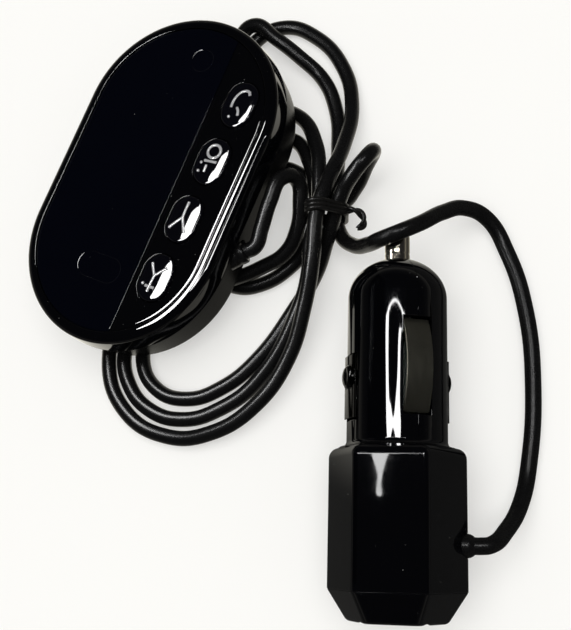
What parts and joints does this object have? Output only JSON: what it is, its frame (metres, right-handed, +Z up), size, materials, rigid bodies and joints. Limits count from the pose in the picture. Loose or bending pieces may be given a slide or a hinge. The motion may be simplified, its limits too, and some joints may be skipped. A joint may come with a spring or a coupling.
{
  "type": "car fm transmitter",
  "caption": "Oval control pod with lens and push buttons, joined by a tied cord to a cigarette-lighter plug with sprung contacts and charging sockets.",
  "frame": {"origin": "on the surface that the object lies on, under the middle of the box round the pod and the plug", "axes": "+Z up; +Y along the plug towards its tip; +X to the right of the plug as seen from its rear end, with the pod at -X"},
  "size_m": [0.1152, 0.1398, 0.0252],
  "materials": {
    "gloss_black": "polished injection-moulded plastic",
    "satin_black": "satin moulded plastic",
    "lens_black": "smoked acrylic lens, polished",
    "cord_rubber": "soft satin rubber",
    "tie_black": "satin plastic-covered wire",
    "nickel": "polished nickel plate",
    "spring_steel": "satin plated spring steel",
    "steel": "plain steel",
    "tin": "tinned sheet",
    "brass": "plain brass",
    "board_green": "solder mask",
    "dark_glass": "display glass",
    "white_nylon": "moulded nylon",
    "red_wire": "wire insulation",
    "capacitor_blue": "shrink sleeve"
  },
  "bodies": {
    "housing": {"pod_front_shell": "gloss_black", "display_lens": "lens_black", "button_strip": "gloss_black", "pod_rear_shell": "satin_black", "switch_call": "steel", "switch_source": "steel", "switch_forward": "steel", "switch_back": "steel", "pod_circuit_board": "board_green", "display_glass": "dark_glass", "display_backlight": "white_nylon", "radio_shield": "tin", "control_chip": "satin_black", "microphone": "tin", "pod_connector": "white_nylon", "pod_leads": "red_wire", "pod_nozzle": "cord_rubber", "pod_screws": "steel", "plug_case_left": "gloss_black", "plug_case_right": "gloss_black", "plug_end_cap": "gloss_black", "usb_shell_upper": "tin", "usb_shell_lower": "tin", "usb_tongue_upper": "white_nylon", "usb_tongue_lower": "white_nylon", "power_board": "board_green", "power_inductor": "satin_black", "input_capacitor": "capacitor_blue", "output_capacitor": "capacitor_blue", "regulator_chip": "satin_black", "tip_spring": "steel", "spring_seat": "brass", "plug_gland": "cord_rubber", "plug_leads": "red_wire", "cord": "cord_rubber", "tie_band": "tie_black", "tie_tail": "tie_black"},
    "call_key": {"button_call": "gloss_black", "plunger_call": "satin_black"},
    "source_key": {"button_source": "gloss_black", "plunger_source": "satin_black"},
    "forward_key": {"button_forward": "gloss_black", "plunger_forward": "satin_black"},
    "back_key": {"button_back": "gloss_black", "plunger_back": "satin_black"},
    "tip": {"tip_contact": "nickel"},
    "upper_leaf": {"leaf_spring_upper": "spring_steel"},
    "lower_leaf": {"leaf_spring_lower": "spring_steel"},
    "left_ground": {"ground_contact_left": "nickel"},
    "right_ground": {"ground_contact_right": "nickel"}
  },
  "joints": [
    {"name": "call_press", "type": "slide", "parent": "housing", "child": "call_key", "axis": [0.161, -0.065, -0.9848], "range_m": [0, 0.0007], "stiffness_N_per_m": 800},
    {"name": "source_press", "type": "slide", "parent": "housing", "child": "source_key", "axis": [0.161, -0.065, -0.9848], "range_m": [0, 0.0007], "stiffness_N_per_m": 800},
    {"name": "forward_press", "type": "slide", "parent": "housing", "child": "forward_key", "axis": [0.161, -0.065, -0.9848], "range_m": [0, 0.0007], "stiffness_N_per_m": 800},
    {"name": "back_press", "type": "slide", "parent": "housing", "child": "back_key", "axis": [0.161, -0.065, -0.9848], "range_m": [0, 0.0007], "stiffness_N_per_m": 800},
    {"name": "tip_push", "type": "slide", "parent": "housing", "child": "tip", "axis": [0, -1, 0], "range_m": [0, 0.0025], "stiffness_N_per_m": 1200, "deforming": ["tip_spring"]},
    {"name": "upper_leaf_press", "type": "slide", "parent": "housing", "child": "upper_leaf", "axis": [-0.5, 0, -0.866], "range_m": [0, 0.001], "stiffness_N_per_m": 1500},
    {"name": "lower_leaf_press", "type": "slide", "parent": "housing", "child": "lower_leaf", "axis": [0.5, 0, 0.866], "range_m": [0, 0.001], "stiffness_N_per_m": 1500},
    {"name": "left_ground_press", "type": "hinge", "parent": "housing", "child": "left_ground", "pos_m": [0.02972, -0.0302, 0.01605], "axis": [-0.5, 0, -0.866], "range_deg": [0, 4], "stiffness_Nm_per_rad": 0.3},
    {"name": "right_ground_press", "type": "hinge", "parent": "housing", "child": "right_ground", "pos_m": [0.04168, -0.0302, 0.00915], "axis": [0.5, 0, 0.866], "range_deg": [0, 4], "stiffness_Nm_per_rad": 0.3}
  ]
}
